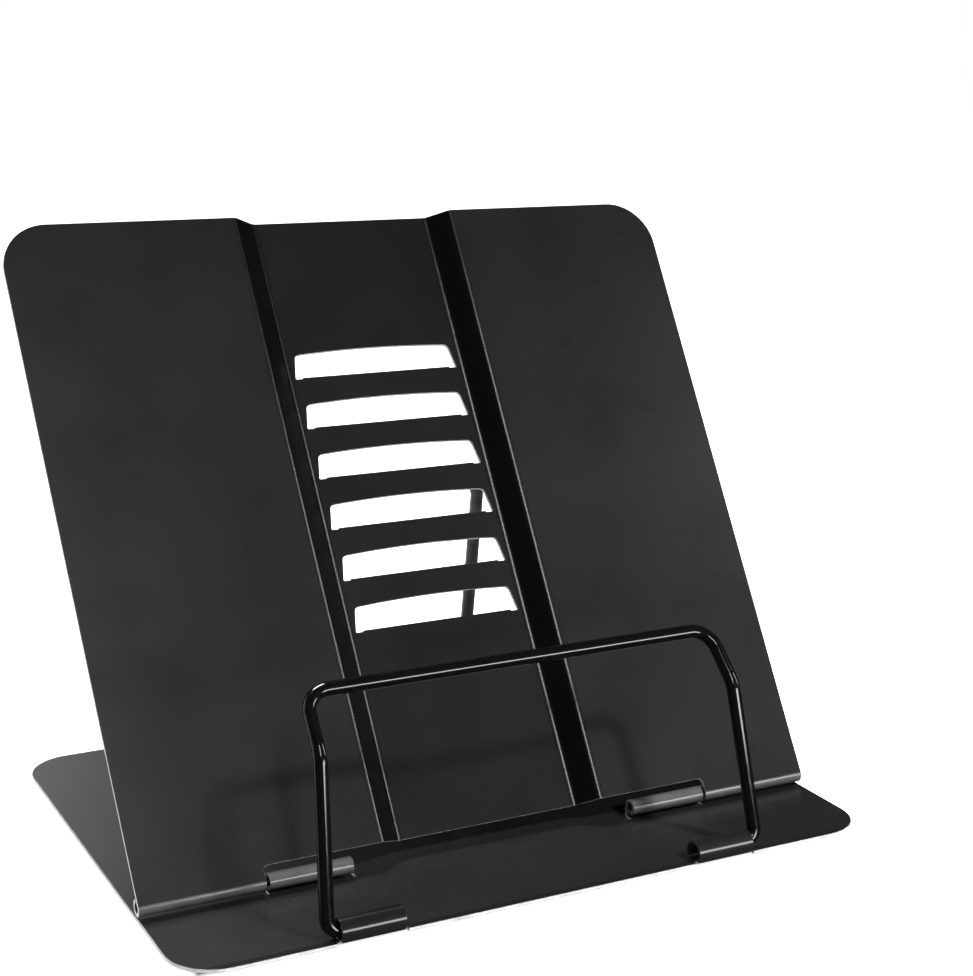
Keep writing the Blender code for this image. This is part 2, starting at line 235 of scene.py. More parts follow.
def cut_window(bm, x_range, axis, other_range):
    """Removes the faces inside x_range and inside other_range along a second axis."""
    doomed = []
    for face in bm.faces:
        middle = face.calc_center_median()
        if x_range[0] < middle.x < x_range[1] and other_range[0] < middle[axis] < other_range[1]:
            doomed.append(face)
    bmesh.ops.delete(bm, geom=doomed, context="FACES")


def roll_strip(bm, x_range, root, path):
    """Draws the edge that lies at root, between the two x values, along a path of (y, z)."""
    def on_root(vert):
        inside = x_range[0] - SHEET / 10 < vert.co.x < x_range[1] + SHEET / 10
        return inside and (Vector(vert.co.yz) - Vector(root)).length < SHEET / 10

    edges = [edge for edge in bm.edges if all(on_root(vert) for vert in edge.verts)]
    place = Vector(root)
    for point in path:
        grown = bmesh.ops.extrude_edge_only(bm, edges=edges)["geom"]
        verts = {item for item in grown if isinstance(item, bmesh.types.BMVert)}
        edges = [item for item in grown if isinstance(item, bmesh.types.BMEdge)]
        edges = [edge for edge in edges if verts.issuperset(edge.verts)]
        bmesh.ops.translate(bm, verts=list(verts), vec=(0.0, point[0] - place[0], point[1] - place[1]))
        place = Vector(point)


def round_corners(bm, corners):
    """Rounds the outline of a flat surface at the given corners."""
    found = [v for v in bm.verts if any((v.co - corner).length < SHEET / 10 for corner in corners)]
    bmesh.ops.bevel(
        bm, geom=found, offset=CORNER_RADIUS, offset_type="OFFSET", segments=CORNER_STEPS,
        profile=0.5, affect="VERTICES",
    )


def add_object(name, data, matrix=None):
    obj = bpy.data.objects.new(name, data)
    bpy.context.scene.collection.objects.link(obj)
    if matrix is not None:
        obj.matrix_world = matrix
    return obj


def bake(obj):
    """Replaces an object's mesh or curve with a mesh that has its modifiers applied."""
    bpy.context.view_layer.update()
    graph = bpy.context.evaluated_depsgraph_get()
    mesh = bpy.data.meshes.new_from_object(obj.evaluated_get(graph))
    mesh.name = obj.name
    if obj.type == "MESH":
        obj.modifiers.clear()
        obj.data = mesh
        return obj
    name = obj.name
    matrix = obj.matrix_world.copy()
    bpy.data.objects.remove(obj)
    return add_object(name, mesh, matrix)


def thick_sheet(name, bm, matrix):
    """Turns an open surface into sheet metal."""
    bmesh.ops.recalc_face_normals(bm, faces=bm.faces[:])
    mesh = bpy.data.meshes.new(name)
    bm.to_mesh(mesh)
    bm.free()
    obj = add_object(name, mesh, matrix)
    solidify = obj.modifiers.new("thickness", "SOLIDIFY")
    solidify.thickness = SHEET
    solidify.offset = 0.0
    solidify.use_even_offset = True
    solidify.material_offset_rim = CUT_FACE
    for _ in range(3):
        mesh.materials.append(None)
    return bake(obj)


def soften_edges(obj, width, segments, worn_and_highlit_at):
    """Rounds the sharp edges; they and the cut faces are marked for worn paint and a painted highlight where
    the given test of a point is true.
    """
    bevel = obj.modifiers.new("rounded_edges", "BEVEL")
    bevel.width = width
    bevel.segments = segments
    bevel.limit_method = "ANGLE"
    bevel.angle_limit = math.radians(SOFT_EDGE_ANGLE)
    bevel.miter_outer = "MITER_ARC"
    bevel.material = ROUNDED_EDGE
    bake(obj)
    wear_and_highlight = [EDGE_WEAR_AND_HIGHLIGHT[polygon.material_index] for polygon in obj.data.polygons]
    mark_faces(obj, "edge_wear_and_highlight", lambda polygon: wear_and_highlight[polygon.index] if worn_and_highlit_at(polygon.center) else 0.0)
    for polygon in obj.data.polygons:
        polygon.material_index = 0


def mark_faces(obj, name, value):
    """Stores value(face) on each face, for the paint to read."""
    mesh = obj.data
    layer = mesh.attributes.new(name, "FLOAT", "CORNER")
    for polygon in mesh.polygons:
        mark = value(polygon)
        for loop in polygon.loop_indices:
            layer.data[loop].value = mark


def near_line(point, line, radius):
    """True within a radius of a line along X through (y, z)."""
    return (Vector(point.yz) - Vector(line)).length < radius


def shade(obj):
    """Smooth shading, with sharp creases kept."""
    obj.data.shade_smooth()
    obj.data.set_sharp_from_angle(angle=math.radians(CREASE_ANGLE))
    flatten = obj.modifiers.new("even_shading", "WEIGHTED_NORMAL")
    flatten.keep_sharp = True
    flatten.weight = 100


def prism(name, outline, low, high):
    """A solid with a flat closed outline of (x, z), drawn from low to high along Y."""
    bm = bmesh.new()
    face = bm.faces.new([bm.verts.new((x, low, z)) for x, z in outline])
    grown = bmesh.ops.extrude_face_region(bm, geom=[face])["geom"]
    verts = [item for item in grown if isinstance(item, bmesh.types.BMVert)]
    bmesh.ops.translate(bm, verts=verts, vec=(0.0, high - low, 0.0))
    bmesh.ops.recalc_face_normals(bm, faces=bm.faces[:])
    for face in bm.faces:
        face.material_index = 0 if abs(face.normal.y) > 0.5 else CUT_FACE
    mesh = bpy.data.meshes.new(name)
    bm.to_mesh(mesh)
    bm.free()
    return mesh


def combine(obj, tools, operation):
    """Applies a Boolean with each tool mesh, then removes the tools."""
    cutters = []
    for mesh in tools:
        cutter = add_object(mesh.name, mesh, obj.matrix_world)
        modifier = obj.modifiers.new(mesh.name, "BOOLEAN")
        modifier.operation = operation
        modifier.solver = "EXACT"
        modifier.object = cutter
        cutters.append(cutter)
    bake(obj)
    for cutter in cutters:
        bpy.data.objects.remove(cutter)


def bevel_where(obj, keep, width, segments):
    """Rounds the edges for which keep(edge) is true."""
    bm = bmesh.new()
    bm.from_mesh(obj.data)
    edges = [edge for edge in bm.edges if keep(edge)]
    bmesh.ops.bevel(
        bm, geom=edges, offset=width, offset_type="OFFSET", segments=segments,
        profile=0.5, affect="EDGES", clamp_overlap=True,
    )
    bm.to_mesh(obj.data)
    bm.free()


def lie_at(edge, axis, value):
    """True for an edge that lies flat at a value along one axis."""
    return all(abs(vert.co[axis] - value) < HAIR / 2 for vert in edge.verts)


# Materials

def add_node(tree, kind, inputs=None, **settings):
    """Adds a node; inputs holds a value or another node's output for each socket."""
    node = tree.nodes.new(kind)
    for key, value in settings.items():
        setattr(node, key, value)
    for key, value in (inputs or {}).items():
        if isinstance(value, bpy.types.NodeSocket):
            tree.links.new(value, node.inputs[key])
        else:
            node.inputs[key].default_value = value
    return node


def noise(tree, place, scale, detail=3.0, roughness=0.55):
    inputs = {"Vector": place, "Scale": scale, "Detail": detail, "Roughness": roughness}
    return add_node(tree, "ShaderNodeTexNoise", inputs).outputs["Fac"]


def remap(tree, value, low, high, to_low, to_high):
    inputs = {"Value": value, "From Min": low, "From Max": high, "To Min": to_low, "To Max": to_high}
    return add_node(tree, "ShaderNodeMapRange", inputs).outputs["Result"]


def calculate(tree, operation, *values):
    inputs = dict(enumerate(values))
    return add_node(tree, "ShaderNodeMath", inputs, operation=operation).outputs[0]


def face_mark(tree, name):
    """The value that mark_faces stored on each face."""
    return add_node(tree, "ShaderNodeAttribute", attribute_name=name).outputs["Fac"]


def blend_colors(tree, factor, first, second):
    mix = add_node(tree, "ShaderNodeMix", {"Factor": factor}, data_type="RGBA")
    for socket, value in (("A", first), ("B", second)):
        target = next(s for s in mix.inputs if s.name == socket and s.type == "RGBA")
        if isinstance(value, bpy.types.NodeSocket):
            tree.links.new(value, target)
        else:
            target.default_value = (*value, 1.0)
    return next(s for s in mix.outputs if s.type == "RGBA")


def start_material(name):
    material = bpy.data.materials.new(name)
    material.use_nodes = True
    tree = material.node_tree
    shader = tree.nodes["Principled BSDF"]
    place = tree.nodes.new("ShaderNodeTexCoord").outputs["Object"]
    return material, tree, shader, place


def connect_bump(tree, shader, heights):
    """Chains bumps of (height, strength, distance)."""
    normal = None
    for height, strength, distance in heights:
        inputs = {"Height": height, "Strength": strength, "Distance": distance}
        bump = add_node(tree, "ShaderNodeBump", inputs)
        if normal is not None:
            tree.links.new(normal, bump.inputs["Normal"])
        normal = bump.outputs["Normal"]
    tree.links.new(normal, shader.inputs["Normal"])


def satin_paint():
    """Baked satin black coating: faint orange peel, fine grain, rolls lightened as rubbed paint and a painted
    sheen, cut edges lightened as wear and a painted highlight, and painted shade in the channel.
    """
    material, tree, shader, place = start_material("satin_black_paint")
    cloud = noise(tree, place, 26.0, 4.0)
    peel = noise(tree, place, 620.0, 2.0)
    grain = noise(tree, place, 3200.0, 2.0)
    rubbed_and_sheen = face_mark(tree, "rubbed_and_sheen")

    tone = remap(tree, cloud, 0.3, 0.7, 0.0, 1.0)
    color = blend_colors(tree, tone, (0.0048, 0.0048, 0.0049), (0.0064, 0.0064, 0.0066))
    speck = remap(tree, grain, 0.58, 0.74, 0.0, 0.4)
    color = blend_colors(tree, speck, color, (0.009, 0.009, 0.0092))
    # Painted shade: the channel's walls and floor are darkened towards near black.
    color = blend_colors(tree, face_mark(tree, "painted_channel_shade"), color, (0.0008, 0.0008, 0.0009))
    # Hinge rolls painted lighter: partly rubbed paint, partly a painted sheen in place of their highlights.
    streak = remap(tree, noise(tree, place, 150.0, 3.0), 0.3, 0.7, 0.75, 1.0)
    bare_and_sheen = calculate(tree, "MULTIPLY", remap(tree, rubbed_and_sheen, CLIP_POLISH, 1.0, 0.0, 1.0), streak)
    color = blend_colors(tree, bare_and_sheen, color, (0.055, 0.055, 0.055))
    # Cut and rounded edges painted lighter: partly worn paint, partly a painted edge highlight.
    patch = remap(tree, noise(tree, place, 190.0, 5.0, 0.65), 0.35, 0.60, 0.6, 1.0)
    worn_and_highlit = calculate(tree, "MULTIPLY", face_mark(tree, "edge_wear_and_highlight"), patch)
    color = blend_colors(tree, worn_and_highlit, color, (0.34, 0.34, 0.34))
    tree.links.new(color, shader.inputs["Base Color"])

    matt = remap(tree, cloud, 0.3, 0.7, 0.26, 0.30)
    polish = remap(tree, rubbed_and_sheen, 0.0, CLIP_POLISH, 0.0, 1.0)
    matt = calculate(tree, "MULTIPLY_ADD", polish, -0.08, matt)
    matt = calculate(tree, "MULTIPLY_ADD", face_mark(tree, "crease"), -0.07, matt)
    tree.links.new(matt, shader.inputs["Roughness"])
    shader.inputs["Specular IOR Level"].default_value = 0.5
    connect_bump(tree, shader, [(peel, 0.18, 0.02 * MM), (grain, 0.10, 0.006 * MM)])
    return material


def gloss_paint():
    """Thick gloss black coating on wire, with slight sags along it."""
    material, tree, shader, place = start_material("gloss_black_paint")
    sag = noise(tree, place, 85.0, 2.0)
    dust = noise(tree, place, 1500.0, 3.0)
    dusty = remap(tree, dust, 0.45, 0.7, 0.0, 1.0)
    color = blend_colors(tree, dusty, (0.0010, 0.0010, 0.0011), (0.0030, 0.0030, 0.0031))
    tree.links.new(color, shader.inputs["Base Color"])
    tree.links.new(remap(tree, dust, 0.3, 0.7, 0.09, 0.15), shader.inputs["Roughness"])
    shader.inputs["Specular IOR Level"].default_value = 0.5
    connect_bump(tree, shader, [(sag, 0.25, 0.08 * MM), (dust, 0.06, 0.006 * MM)])
    return material


def leg_paint():
    """Duller coating on the support leg, mid-grey all over and lighter in random patches."""
    material, tree, shader, place = start_material("dull_grey_paint")
    patches = noise(tree, place, 130.0, 5.0, 0.65)
    dust = noise(tree, place, 1500.0, 3.0)
    patchy = remap(tree, patches, 0.35, 0.65, 0.0, 1.0)
    color = blend_colors(tree, patchy, (0.09, 0.09, 0.092), (0.14, 0.14, 0.142))
    tree.links.new(color, shader.inputs["Base Color"])
    tree.links.new(remap(tree, dust, 0.3, 0.7, 0.26, 0.36), shader.inputs["Roughness"])
    connect_bump(tree, shader, [(patches, 0.15, 0.03 * MM), (dust, 0.06, 0.006 * MM)])
    return material


def blackened_steel():
    """Blackened steel pin, with fine turning marks round it."""
    material, tree, shader, place = start_material("blackened_steel")
    stretch = add_node(tree, "ShaderNodeMapping", {"Vector": place, "Scale": (4200.0, 260.0, 260.0)})
    marks = noise(tree, stretch.outputs["Vector"], 1.0, 3.0)
    tint = noise(tree, place, 240.0, 3.0)
    tone = remap(tree, tint, 0.3, 0.7, 0.0, 1.0)
    color = blend_colors(tree, tone, (0.035, 0.035, 0.037), (0.065, 0.065, 0.067))
    tree.links.new(color, shader.inputs["Base Color"])
    tree.links.new(remap(tree, marks, 0.3, 0.7, 0.22, 0.38), shader.inputs["Roughness"])
    shader.inputs["Metallic"].default_value = 1.0
    connect_bump(tree, shader, [(marks, 0.2, 0.01 * MM)])
    return material


def black_rubber():
    """Dull moulded rubber with a fine grain and dusty patches."""
    material, tree, shader, place = start_material("black_rubber")
    grain = noise(tree, place, 2400.0, 3.0)
    dust = noise(tree, place, 420.0, 4.0)
    dusty = remap(tree, dust, 0.4, 0.75, 0.0, 1.0)
    color = blend_colors(tree, dusty, (0.016, 0.016, 0.016), (0.045, 0.044, 0.042))
    tree.links.new(color, shader.inputs["Base Color"])
    tree.links.new(remap(tree, grain, 0.3, 0.7, 0.72, 0.88), shader.inputs["Roughness"])
    connect_bump(tree, shader, [(grain, 0.3, 0.02 * MM)])
    return material


def floor_paint(corner):
    """Plain pale paper that glows, but for the part under the base, whose corner is given; that part is
    painted near-black as shade.
    """
    material, tree, shader, place = start_material("pale_floor")
    fibre = noise(tree, place, 60.0, 3.0)
    color = blend_colors(tree, fibre, (0.93, 0.93, 0.93), (0.96, 0.96, 0.96))
    tree.links.new(color, shader.inputs["Emission Color"])
    distance = add_node(tree, "ShaderNodeVectorMath", {0: place}, operation="ABSOLUTE").outputs["Vector"]
    parts = add_node(tree, "ShaderNodeSeparateXYZ", {"Vector": distance}).outputs
    aside = remap(tree, parts["X"], corner.x + FLOOR_FADE[0], corner.x + FLOOR_FADE[1], 0.0, 1.0)
    beyond = remap(tree, parts["Y"], corner.y + FLOOR_FADE[0], corner.y + FLOOR_FADE[1], 0.0, 1.0)
    outside = calculate(tree, "MAXIMUM", aside, beyond)
    tree.links.new(outside, shader.inputs["Emission Strength"])
    # Painted shade: under the base the paper is painted near-black.
    color = blend_colors(tree, outside, (0.02, 0.02, 0.02), color)
    tree.links.new(color, shader.inputs["Base Color"])
    shader.inputs["Roughness"].default_value = 0.9
    shader.inputs["Specular IOR Level"].default_value = 0.1
    return material


# Pieces

def finish_piece(obj, body, nodes, material):
    """Gives a piece its material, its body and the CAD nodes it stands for."""
    obj.data.materials.clear()
    obj.data.materials.append(material)
    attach(obj, body)
    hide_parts(*nodes)


def build_base(hinge, front_pivot, rear_pivot, paint):
    """The flat base, with two hinge knuckles and four wire clips rolled from it."""
    low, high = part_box("base_plate")
    top = low.z + SHEET
    rear = high.y - hinge.y
    half = high.x
    middle = -SHEET / 2
    bm = bmesh.new()
    bmesh.ops.create_grid(bm, x_segments=1, y_segments=1, size=0.5)
    for vert in bm.verts:
        side = 1 if vert.co.y > 0 else -1
        vert.co = (vert.co.x * 2 * half, rear if side > 0 else BASE_FRONT, middle)
    round_corners(bm, [vert.co.copy() for vert in bm.verts])

    front_y = front_pivot.y - hinge.y
    rear_y = rear_pivot.y - hinge.y
    cuts = []
    for x_range in (KNUCKLE_X, FRONT_CLIP_X, REAR_CLIP_X):
        cuts += [x_range[0] - RELIEF, x_range[0], x_range[1], x_range[1] + RELIEF]
    split(bm, 0, both_sides(cuts))
    split(bm, 1, [KNUCKLE_ROOT, KNUCKLE_WINDOW, front_y, rear_y, rear_y + REAR_CLIP_WINDOW])
    windows = [
        (KNUCKLE_X, (KNUCKLE_ROOT, KNUCKLE_WINDOW)),
        (FRONT_CLIP_X, (2 * BASE_FRONT, front_y)),
        (REAR_CLIP_X, (rear_y, rear_y + REAR_CLIP_WINDOW)),
    ]
    knuckle = arc((HINGE_ROLL - KNUCKLE_BEND, middle + KNUCKLE_BEND), KNUCKLE_BEND, -90, 0)
    knuckle += arc((0.0, hinge.z - top), HINGE_ROLL, 0, KNUCKLE_ARC_END)
    front_clip = arc((front_y, front_pivot.z - top), CLIP_ROLL, 270, FRONT_CLIP_ARC_END)[1:]
    rear_clip = arc((rear_y, rear_pivot.z - top), CLIP_ROLL, -90, REAR_CLIP_ARC_END)[1:]
    for side in (-1, 1):
        for x_range, y_range in windows:
            first, last = sorted((side * (x_range[0] - RELIEF), side * (x_range[1] + RELIEF)))
            cut_window(bm, (first, last), 1, y_range)
        roll_strip(bm, sorted(side * x for x in KNUCKLE_X), (KNUCKLE_ROOT, middle), knuckle)
        roll_strip(bm, sorted(side * x for x in FRONT_CLIP_X), (front_y, middle), front_clip)
        roll_strip(bm, sorted(side * x for x in REAR_CLIP_X), (rear_y, middle), rear_clip)
    base = thick_sheet("base_sheet", bm, Matrix.Translation((0.0, hinge.y, top)))

    def on_outline(point):
        at_end = not BASE_FRONT + SHEET < point.y < rear - SHEET
        return point.z < SHEET / 4 and (at_end or abs(point.x) > half - CORNER_RADIUS)

    # 1 on the hinge roll, which is rubbed and given a painted sheen; the front clips are only polished.
    def rubbed_and_sheen(face):
        if near_line(face.center, (0.0, hinge.z - top), HINGE_ROLL + SHEET):
            return 1.0
        in_clip = near_line(face.center, (front_y, front_pivot.z - top), CLIP_ROLL + SHEET)
        return CLIP_POLISH if in_clip and face.center.z > -SHEET / 4 else 0.0

    soften_edges(base, EDGE_ROUND, BASE_EDGE_STEPS, on_outline)
    mark_faces(base, "rubbed_and_sheen", rubbed_and_sheen)
    shade(base)
    finish_piece(base, "base", ["base_plate"], paint)


def tab_mesh(number, bottom, channel):
    """A tab behind one slot's lower edge, with rounded free corners."""
    reach = SLOT_HALF_BOTTOM - NOTCH_WIDTH - TAB_GAP
    back = channel + SHEET / 2 + TAB_DEPTH
    corners = [(0.0, channel), (reach, channel), (reach, back), (0.0, back)]
    outline = fillet(corners, (HAIR, TAB_CORNER), TAB_CORNER_STEPS)[1:-1]
    outline += [Vector((-point.x, point.y)) for point in reversed(outline)]
    bm = bmesh.new()
    face = bm.faces.new([bm.verts.new((x, y, bottom - SHEET)) for x, y in outline])
    grown = bmesh.ops.extrude_face_region(bm, geom=[face])["geom"]
    verts = [item for item in grown if isinstance(item, bmesh.types.BMVert)]
    bmesh.ops.translate(bm, verts=verts, vec=(0.0, 0.0, 2 * SHEET))
    bmesh.ops.recalc_face_normals(bm, faces=bm.faces[:])
    mesh = bpy.data.meshes.new(f"tab_{number}")
    bm.to_mesh(mesh)
    bm.free()
    return mesh


def cutout_corner(side, wing):
    """The metal that rounds one upper corner of the cut-out over the knuckles."""
    edge = PLATE_ROLL_START
    low = CUTOUT_TOP - CUTOUT_CORNER
    curve = arc((edge - CUTOUT_CORNER, low), CUTOUT_CORNER, 90, 0, 2 * ARC_STEP)
    outline = [Vector((edge + HAIR, low)), Vector((edge + HAIR, CUTOUT_TOP + HAIR))]
    outline += [Vector((edge - CUTOUT_CORNER, CUTOUT_TOP + HAIR))] + curve
    outline = [(side * x, z) for x, z in outline]
    return prism(f"cutout_corner_{side}", outline, wing - SHEET / 2, wing + SHEET / 2)


def painted_channel_shade(point):
    """How much painted shade darkens the paint: 0 on the wings, 1 on the channel's walls, and between on its
    floor.
    """
    if abs(point.x) > RIDGE_OUTER or point.z < 0.0:
        return 0.0
    return 1.0 if abs(point.x) > RIDGE_INNER else CHANNEL_FLOOR_SHADE


def in_crease(point):
    """1 on the channel's walls and the bends beside them."""
    inside = RIDGE_INNER - CREASE_MARGIN < abs(point.x) < RIDGE_OUTER + CREASE_MARGIN
    return 1.0 if inside else 0.0


def build_back_plate(hinge, paint):
    """The sloping plate: two wings, a channel between them, and two hinge rolls below."""
    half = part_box("back_plate")[1].x
    wing = -HINGE_ROLL
    channel = wing + CHANNEL_RECESS
    front = channel - SHEET / 2
    corners = [
        (-half, wing), (-RIDGE_OUTER, wing), (-RIDGE_INNER, channel),
        (RIDGE_INNER, channel), (RIDGE_OUTER, wing), (half, wing),
    ]
    section = fillet(corners, (RIDGE_BEND, CHANNEL_BEND, CHANNEL_BEND, RIDGE_BEND), BEND_STEPS)
    bm = bmesh.new()
    verts = [bm.verts.new((point.x, point.y, 0.0)) for point in section]
    edges = [bm.edges.new(pair) for pair in zip(verts, verts[1:])]
    grown = bmesh.ops.extrude_edge_only(bm, edges=edges)["geom"]
    upper = [item for item in grown if isinstance(item, bmesh.types.BMVert)]
    bmesh.ops.translate(bm, verts=upper, vec=(0.0, 0.0, PLATE_LENGTH))
    top_corners = [Vector((side * half, wing, PLATE_LENGTH)) for side in (-1, 1)]
    split(bm, 0, both_sides([PLATE_ROLL_START]))
    split(bm, 2, [CUTOUT_TOP])
    round_corners(bm, top_corners)
    cut_window(bm, (-PLATE_ROLL_START, PLATE_ROLL_START), 2, (-CUTOUT_TOP, CUTOUT_TOP))
    roll = arc((0.0, 0.0), HINGE_ROLL, 180, PLATE_ROLL_ARC_END)[1:]
    for side in (-1, 1):
        roll_strip(bm, sorted((side * PLATE_ROLL_START, side * half)), (wing, 0.0), roll)
    matrix = Matrix.Translation(hinge) @ Matrix.Rotation(math.radians(TILT - 90.0), 4, "X")
    plate = thick_sheet("back_sheet", bm, matrix)

    combine(plate, [cutout_corner(side, wing) for side in (-1, 1)], "UNION")
    bottoms = [SLOT_FIRST + number * SLOT_PITCH for number in range(SLOT_COUNT)]
    combine(plate, [tab_mesh(i, bottom, channel) for i, bottom in enumerate(bottoms)], "UNION")
    slots = []
    for number, bottom in enumerate(bottoms):
        slots.append(prism(f"slot_{number}", slot_outline(bottom), front - TAB_DEPTH, front + 3 * TAB_DEPTH))
    combine(plate, slots, "DIFFERENCE")

    def tab_bend(edge):
        at_slot = any(lie_at(edge, 2, bottom) for bottom in bottoms)
        return at_slot and lie_at(edge, 1, front) and abs(edge.verts[0].co.x) < RIDGE_INNER

    bevel_where(plate, tab_bend, TAB_BEND, SMALL_CORNER_STEPS)
    soften_edges(plate, SLOT_EDGE_ROUND, PLATE_EDGE_STEPS, lambda point: point.y < channel + SHEET / 2)
    # The plate's rolls are marked for rubbed paint and a painted sheen.
    in_roll = HINGE_ROLL + SHEET
    mark_faces(plate, "rubbed_and_sheen", lambda face: 1.0 if near_line(face.center, (0.0, 0.0), in_roll) else 0.0)
    # The channel is marked for painted shade.
    mark_faces(plate, "painted_channel_shade", lambda face: painted_channel_shade(face.center))
    mark_faces(plate, "crease", lambda face: in_crease(face.center))
    shade(plate)
    finish_piece(plate, "back_plate", ["back_plate"], paint)


def add_rod(name, path, radius, chamfer, matrix):
    """A round wire or pin along a path, with chamfered ends."""
    first, last = path[0], path[-1]
    ends = [first + (path[1] - first).normalized() * chamfer, last + (path[-2] - last).normalized() * chamfer]
    points = [first, ends[0]] + path[1:-1] + [ends[1], last]
    curve = bpy.data.curves.new(name, "CURVE")
    curve.dimensions = "3D"
    curve.bevel_depth = radius
    curve.bevel_resolution = WIRE_RESOLUTION
    curve.use_fill_caps = True
    spline = curve.splines.new("POLY")
    spline.points.add(len(points) - 1)
    for point, place in zip(spline.points, points):
        point.co = (*place, 1.0)
    for point in (spline.points[0], spline.points[-1]):
        point.radius = 1 - chamfer / radius
    rod = bake(add_object(name, curve, matrix))
    bm = bmesh.new()
    bm.from_mesh(rod.data)
    bmesh.ops.remove_doubles(bm, verts=bm.verts[:], dist=HAIR / 10)
    bm.to_mesh(rod.data)
    bm.free()
    shade(rod)
    return rod


def build_wires(front_pivot, rear_pivot):
    """The support leg behind the plate and the page holder in front of it."""
    low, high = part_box("support_leg")
    bar = Vector((0.0, low.y + WIRE_RADIUS, high.z - WIRE_RADIUS))
    rise = bar - rear_pivot
    lean = math.atan2(-rise.y, rise.z)
    corners = [(LEG_END_X, 0.0, 0.0), (LEG_X, 0.0, 0.0), (LEG_X, 0.0, rise.length), (0.0, 0.0, rise.length)]
    half = fillet(corners, (WIRE_BEND, LEG_TOP_BEND), CORNER_STEPS)
    matrix = Matrix.Translation(rear_pivot) @ Matrix.Rotation(lean, 4, "X")
    leg = add_rod("support_leg_wire", mirrored_path(half[:-1]), WIRE_RADIUS, WIRE_CHAMFER, matrix)
    finish_piece(leg, "support_leg", ["support_leg"], leg_paint())

    low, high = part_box("page_holder")
    lean = math.radians(HOLDER_LEAN)
    kink = Vector((HOLDER_KINK_X, HOLDER_LEG * math.sin(lean), HOLDER_LEG * math.cos(lean)))
    top_y = high.y - WIRE_RADIUS - front_pivot.y
    top_z = high.z - WIRE_RADIUS - front_pivot.z
    corners = [
        (HOLDER_END_X, 0.0, 0.0), (HOLDER_FOOT_X, 0.0, 0.0), kink,
        (HOLDER_TOP_X, top_y, top_z), (0.0, top_y, top_z),
    ]
    half = fillet(corners, (WIRE_BEND, HOLDER_KINK_BEND, HOLDER_TOP_BEND), CORNER_STEPS)
    matrix = Matrix.Translation(front_pivot)
    holder = add_rod("page_holder_wire", mirrored_path(half[:-1]), WIRE_RADIUS, WIRE_CHAMFER, matrix)
    finish_piece(holder, "page_holder", ["page_holder"], gloss_paint())


def build_pins(hinge, steel):
    for hand in ("left", "right"):
        node = f"hinge_pin_{hand}"
        low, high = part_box(node)
        path = [Vector((low.x, 0.0, 0.0)), Vector((high.x, 0.0, 0.0))]
        pin = add_rod(f"pin_{hand}", path, PIN_RADIUS, PIN_CHAMFER, Matrix.Translation(hinge))
        finish_piece(pin, "hinge_pins", [node], steel)


def build_pads(rubber):
    """Round pads turned from their profile, each on a thin adhesive liner that meets the base."""
    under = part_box("base_plate")[0].z
    corners = [(0.0, 0.0), (PAD_RADIUS, 0.0), (PAD_RADIUS, PAD_HEIGHT), (0.0, PAD_HEIGHT)]
    profile = fillet(corners, (PAD_ROUND, PAD_ROUND / 2), PAD_CORNER_STEPS)[:-1]
    profile += [Vector((LINER_RADIUS, PAD_HEIGHT)), Vector((LINER_RADIUS, under)), Vector((0.0, under))]
    for end in ("front", "rear"):
        for hand in ("left", "right"):
            node = f"foot_pad_{end}_{hand}"
            low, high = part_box(node)
            bm = bmesh.new()
            verts = [bm.verts.new((x, 0.0, z)) for x, z in profile]
            for pair in zip(verts, verts[1:]):
                bm.edges.new(pair)
            bmesh.ops.spin(
                bm, geom=bm.verts[:] + bm.edges[:], cent=(0.0, 0.0, 0.0), axis=(0.0, 0.0, 1.0),
                angle=2 * math.pi, steps=PAD_SIDES,
            )
            bmesh.ops.remove_doubles(bm, verts=bm.verts[:], dist=HAIR / 10)
            bmesh.ops.recalc_face_normals(bm, faces=bm.faces[:])
            mesh = bpy.data.meshes.new(f"pad_{end}_{hand}")
            bm.to_mesh(mesh)
            bm.free()
            center = (low + high) / 2
            pad = add_object(f"pad_{end}_{hand}", mesh, Matrix.Translation((center.x, center.y, 0.0)))
            shade(pad)
            finish_piece(pad, "base", [node], rubber)


# Studio

def add_floor():
    bm = bmesh.new()
    bmesh.ops.create_circle(bm, cap_ends=True, segments=96, radius=FLOOR_RADIUS)
    mesh = bpy.data.meshes.new("floor")
    bm.to_mesh(mesh)
    bm.free()
    floor = add_object("floor", mesh)
    floor.visible_glossy = False
    mesh.materials.append(floor_paint(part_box("base_plate")[1]))


def aim(obj, place, target):
    """Stands an object at a place and turns it to face the target."""
    direction = Vector(target) - Vector(place)
    obj.matrix_world = Matrix.Translation(place) @ direction.to_track_quat("-Z", "Y").to_matrix().to_4x4()


def add_softbox(name, way, size, power):
    """A rectangular light that stands the given way from the stand and faces it."""
    light = bpy.data.lights.new(name, "AREA")
    light.shape = "RECTANGLE"
    light.size = size[0]
    light.size_y = size[1]
    light.energy = power
    obj = add_object(name, light)
    target = Vector(SOFTBOX_TARGET)
    aim(obj, target + Vector(way).normalized() * SOFTBOX_DISTANCE, target)
    obj.visible_camera = False


def add_lamp(light, target, distance):
    """A lamp that lights surfaces without showing in their reflections."""
    obj = add_object(light.name, light)
    aim(obj, Vector(target) + distance * Vector(LAMP_WAY), target)
    obj.visible_glossy = False


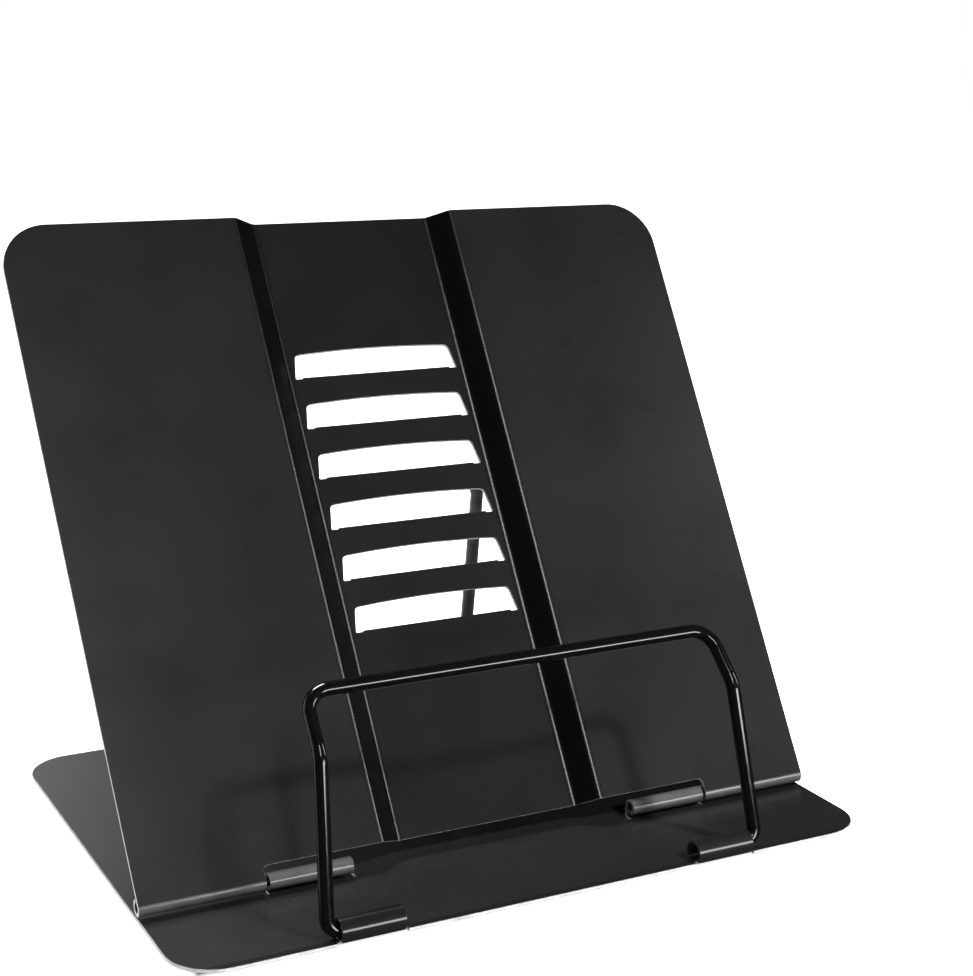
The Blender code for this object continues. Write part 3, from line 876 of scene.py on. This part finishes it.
def add_lights():
    """Two lamps that cast the page holder's shadow, and softboxes that the paint reflects."""
    sun = bpy.data.lights.new("broad_lamp", "SUN")
    sun.energy = 2.6
    sun.angle = math.radians(5.0)
    add_lamp(sun, (0.0, 0.0, 0.0), 1.0)
    spot = bpy.data.lights.new("page_lamp", "SPOT")
    spot.energy = 46.0
    spot.spot_size = math.radians(30.0)
    spot.spot_blend = 1.0
    spot.shadow_soft_size = 0.04
    add_lamp(spot, (0.03, -0.05, 0.02), 0.92)
    add_softbox("rear_top", (0.05, 0.42, 0.90), (0.40, 0.24), 13.0)
    add_softbox("front_right", (0.60, -0.70, 0.38), (1.1, 0.8), 0.15)
    add_softbox("front_low", (0.42, -0.90, 0.09), (0.60, 0.26), 7.0)
    add_softbox("front", (-0.12, -0.73, 0.67), (0.12, 0.60), 4.0)
    add_softbox("right", (0.82, -0.38, 0.43), (0.12, 0.60), 2.6)


def add_world():
    """A dim surround with a bright part low behind; the camera itself sees white."""
    world = bpy.data.worlds.new("studio")
    world.use_nodes = True
    tree = world.node_tree
    background = tree.nodes["Background"]
    place = tree.nodes.new("ShaderNodeTexCoord").outputs["Generated"]
    parts = add_node(tree, "ShaderNodeSeparateXYZ", {"Vector": place}).outputs
    behind = remap(tree, parts["Y"], 0.2, 0.7, 0.0, 1.0)
    low = remap(tree, parts["Z"], 0.70, 0.50, 0.0, 1.0)
    aside = remap(tree, parts["X"], 0.30, 0.16, 0.0, 1.0)
    wall = calculate(tree, "MULTIPLY", calculate(tree, "MULTIPLY", behind, low), aside)
    surround = blend_colors(tree, wall, (0.02, 0.02, 0.02), (1.3, 1.3, 1.3))
    seen = tree.nodes.new("ShaderNodeLightPath").outputs["Is Camera Ray"]
    tree.links.new(blend_colors(tree, seen, surround, (1.0, 1.0, 1.0)), background.inputs["Color"])
    bpy.context.scene.world = world


def add_camera():
    azimuth = math.radians(CAMERA_AZIMUTH)
    elevation = math.radians(CAMERA_ELEVATION)
    roll = math.radians(CAMERA_ROLL)
    back = Vector((
        math.sin(azimuth) * math.cos(elevation), -math.cos(azimuth) * math.cos(elevation), math.sin(elevation)
    ))
    level = Vector((math.cos(azimuth), math.sin(azimuth), 0.0))
    upright = back.cross(level)
    right = math.cos(roll) * level + math.sin(roll) * upright
    up = math.cos(roll) * upright - math.sin(roll) * level
    matrix = Matrix((right, up, back)).transposed().to_4x4()
    matrix.translation = CAMERA_PLACE
    camera = bpy.data.cameras.new("camera")
    camera.lens = 68.28
    camera.shift_x = -0.0314
    camera.shift_y = 0.1913
    obj = add_object("camera", camera, matrix)
    bpy.context.scene.camera = obj


def build_scene():
    pivots = {joint["name"]: Vector(joint["pos_m"]) for joint in frame["joints"]}
    hinge = pivots["plate_fold"]
    front_pivot = pivots["page_holder_swing"]
    rear_pivot = pivots["support_leg_swing"]
    satin = satin_paint()
    build_base(hinge, front_pivot, rear_pivot, satin)
    build_back_plate(hinge, satin)
    build_wires(front_pivot, rear_pivot)
    build_pins(hinge, blackened_steel())
    build_pads(black_rubber())
    add_floor()
    add_world()
    add_lights()
    add_camera()
    bpy.context.scene.view_settings.view_transform = "Standard"


build_scene()
